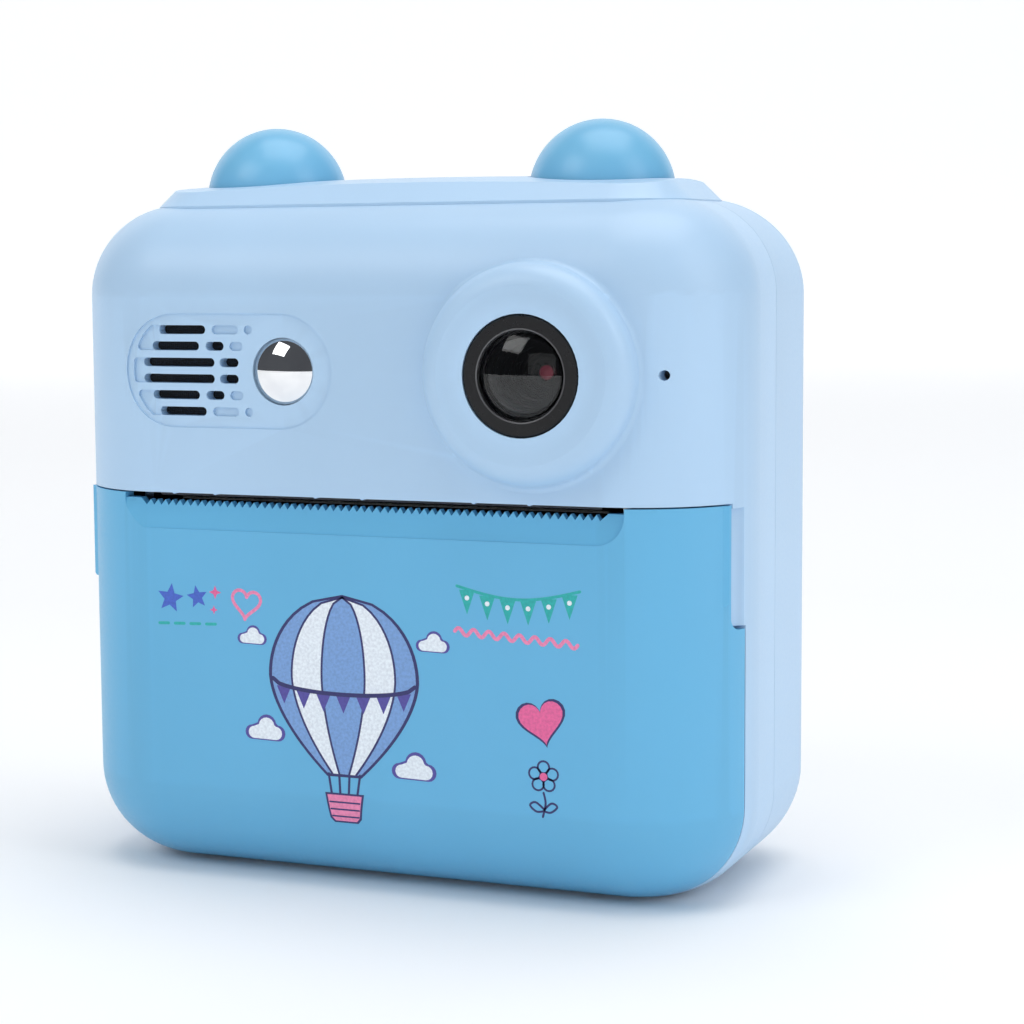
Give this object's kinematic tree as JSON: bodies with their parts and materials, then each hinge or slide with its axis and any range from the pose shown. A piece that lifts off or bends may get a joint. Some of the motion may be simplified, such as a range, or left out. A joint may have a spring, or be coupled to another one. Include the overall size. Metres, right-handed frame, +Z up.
{
  "type": "kids instant camera",
  "caption": "Pillow-shaped toy camera with round lens ring, dome ear buttons, speaker grille, convex mirror, and a hinged front door over a thermal roll printer.",
  "frame": {"origin": "on the resting plane, under the middle of the body", "axes": "+X to the right as seen from the front, +Y from the front to the back, +Z up; the lens looks along -Y"},
  "size_m": [0.088, 0.0474, 0.0936],
  "materials": {
    "shell_blue": "satin",
    "door_blue": "satin",
    "ear_blue": "gloss",
    "black_plastic": "satin",
    "dark_plastic": "matte",
    "white_plastic": "satin",
    "clear_window": "clear",
    "coated_glass": "coated",
    "mirror_chrome": "polished",
    "steel": "satin",
    "zinc_screw": "satin",
    "aluminium": "satin",
    "ceramic": "glazed",
    "rubber": "matte",
    "gear_white": "satin",
    "bush_plastic": "satin",
    "brass": "satin",
    "paper": "matte",
    "card_tube": "matte",
    "green_board": "satin",
    "blue_board": "satin",
    "chip_black": "satin",
    "battery_wrap": "foil",
    "screen_dark": "gloss",
    "cloth": "mesh",
    "cone_paper": "matte"
  },
  "bodies": {
    "camera_body": {"front_shell": "shell_blue", "rear_shell": "shell_blue", "top_cover": "shell_blue", "shutter_spring": "steel", "print_spring": "steel", "ear_switch_board": "green_board", "lens_bezel": "black_plastic", "lens_cover": "clear_window", "lens_barrel": "black_plastic", "lens_element": "coated_glass", "sensor_holder": "black_plastic", "sensor_board": "green_board", "selfie_mirror": "mirror_chrome", "grille_cloth": "cloth", "speaker_frame": "dark_plastic", "speaker_cone": "cone_paper", "microphone": "aluminium", "screen_window": "clear_window", "display_panel": "screen_dark", "keypad_board": "green_board", "contact_domes": "steel", "shell_screws": "zinc_screw", "board_screws": "zinc_screw", "strap_pin": "steel", "paper_web": "paper", "paper_bin": "dark_plastic", "stepper_motor": "steel", "chassis_pins": "steel", "head_springs": "steel", "printer_chassis": "steel", "main_board": "blue_board", "main_board_chips": "chip_black", "battery": "battery_wrap", "usb_socket": "steel", "card_socket": "steel"},
    "door": {"paper_door": "door_blue", "platen_bushes": "bush_plastic", "hinge_pins": "steel"},
    "platen": {"platen_roller": "rubber", "platen_shaft": "steel", "platen_gear": "gear_white"},
    "idler": {"idler_gear": "gear_white"},
    "compound": {"compound_gear": "gear_white"},
    "motor_rotor": {"motor_pinion": "brass"},
    "paper_supply": {"paper_roll": "paper", "roll_core": "card_tube"},
    "print_head": {"thermal_head": "ceramic", "head_heat_sink": "aluminium"},
    "shutter_ear": {"shutter_ear_button": "ear_blue"},
    "print_ear": {"print_ear_button": "ear_blue"},
    "card": {"memory_card": "chip_black"},
    "power_button": {"power_key": "white_plastic"},
    "menu_button": {"menu_key": "white_plastic"},
    "play_button": {"play_key": "white_plastic"},
    "delete_button": {"delete_key": "white_plastic"},
    "ok_button": {"ok_key": "white_plastic"},
    "left_button": {"left_key": "white_plastic"},
    "up_button": {"up_key": "white_plastic"},
    "right_button": {"right_key": "white_plastic"},
    "down_button": {"down_key": "white_plastic"}
  },
  "joints": [
    {"name": "door_hinge", "type": "hinge", "parent": "camera_body", "child": "door", "pos_m": [0, -0.0134, 0.0032], "axis": [1, 0, 0], "range_deg": [0, 50]},
    {"name": "platen_spin", "type": "hinge", "parent": "door", "child": "platen", "pos_m": [0, -0.014, 0.0426], "axis": [1, 0, 0], "continuous": true},
    {"name": "idler_spin", "type": "hinge", "parent": "camera_body", "child": "idler", "pos_m": [0, -0.00573, 0.04561], "axis": [1, 0, 0], "continuous": true},
    {"name": "compound_spin", "type": "hinge", "parent": "camera_body", "child": "compound", "pos_m": [0, -0.00213, 0.05185], "axis": [1, 0, 0], "continuous": true},
    {"name": "motor_spin", "type": "hinge", "parent": "camera_body", "child": "motor_rotor", "pos_m": [0, 0.00417, 0.05185], "axis": [1, 0, 0], "continuous": true},
    {"name": "roll_spin", "type": "hinge", "parent": "camera_body", "child": "paper_supply", "pos_m": [0, -0.002, 0.02], "axis": [1, 0, 0], "continuous": true},
    {"name": "head_pivot", "type": "hinge", "parent": "camera_body", "child": "print_head", "pos_m": [0, -0.00265, 0.04652], "axis": [-1, 0, 0], "range_deg": [0, 3], "stiffness_Nm_per_rad": 0.3, "springref_deg": -5.73, "deforming": ["head_springs"]},
    {"name": "shutter_press", "type": "slide", "parent": "camera_body", "child": "shutter_ear", "axis": [0, 0, -1], "range_m": [0, 0.0012], "stiffness_N_per_m": 300, "springref_m": -0.003, "deforming": ["shutter_spring"]},
    {"name": "print_press", "type": "slide", "parent": "camera_body", "child": "print_ear", "axis": [0, 0, -1], "range_m": [0, 0.0012], "stiffness_N_per_m": 300, "springref_m": -0.003, "deforming": ["print_spring"]},
    {"name": "power_press", "type": "slide", "parent": "camera_body", "child": "power_button", "axis": [0, -1, 0], "range_m": [0, 0.0006], "stiffness_N_per_m": 150, "springref_m": -0.002},
    {"name": "menu_press", "type": "slide", "parent": "camera_body", "child": "menu_button", "axis": [0, -1, 0], "range_m": [0, 0.0006], "stiffness_N_per_m": 150, "springref_m": -0.002},
    {"name": "play_press", "type": "slide", "parent": "camera_body", "child": "play_button", "axis": [0, -1, 0], "range_m": [0, 0.0006], "stiffness_N_per_m": 150, "springref_m": -0.002},
    {"name": "delete_press", "type": "slide", "parent": "camera_body", "child": "delete_button", "axis": [0, -1, 0], "range_m": [0, 0.0006], "stiffness_N_per_m": 150, "springref_m": -0.002},
    {"name": "ok_press", "type": "slide", "parent": "camera_body", "child": "ok_button", "axis": [0, -1, 0], "range_m": [0, 0.0006], "stiffness_N_per_m": 150, "springref_m": -0.002},
    {"name": "left_press", "type": "slide", "parent": "camera_body", "child": "left_button", "axis": [0, -1, 0], "range_m": [0, 0.0006], "stiffness_N_per_m": 150, "springref_m": -0.002},
    {"name": "up_press", "type": "slide", "parent": "camera_body", "child": "up_button", "axis": [0, -1, 0], "range_m": [0, 0.0006], "stiffness_N_per_m": 150, "springref_m": -0.002},
    {"name": "right_press", "type": "slide", "parent": "camera_body", "child": "right_button", "axis": [0, -1, 0], "range_m": [0, 0.0006], "stiffness_N_per_m": 150, "springref_m": -0.002},
    {"name": "down_press", "type": "slide", "parent": "camera_body", "child": "down_button", "axis": [0, -1, 0], "range_m": [0, 0.0006], "stiffness_N_per_m": 150, "springref_m": -0.002},
    {"name": "card_slide", "type": "slide", "parent": "camera_body", "child": "card", "axis": [-1, 0, 0], "range_m": [-0.0008, 0.018]}
  ],
  "couplings": [
    {"joint": "idler_spin", "follows": "platen_spin", "ratio": -0.83333},
    {"joint": "compound_spin", "follows": "platen_spin", "ratio": 1.6667},
    {"joint": "motor_spin", "follows": "platen_spin", "ratio": -5.3333},
    {"joint": "roll_spin", "follows": "platen_spin", "ratio": 0.28}
  ]
}
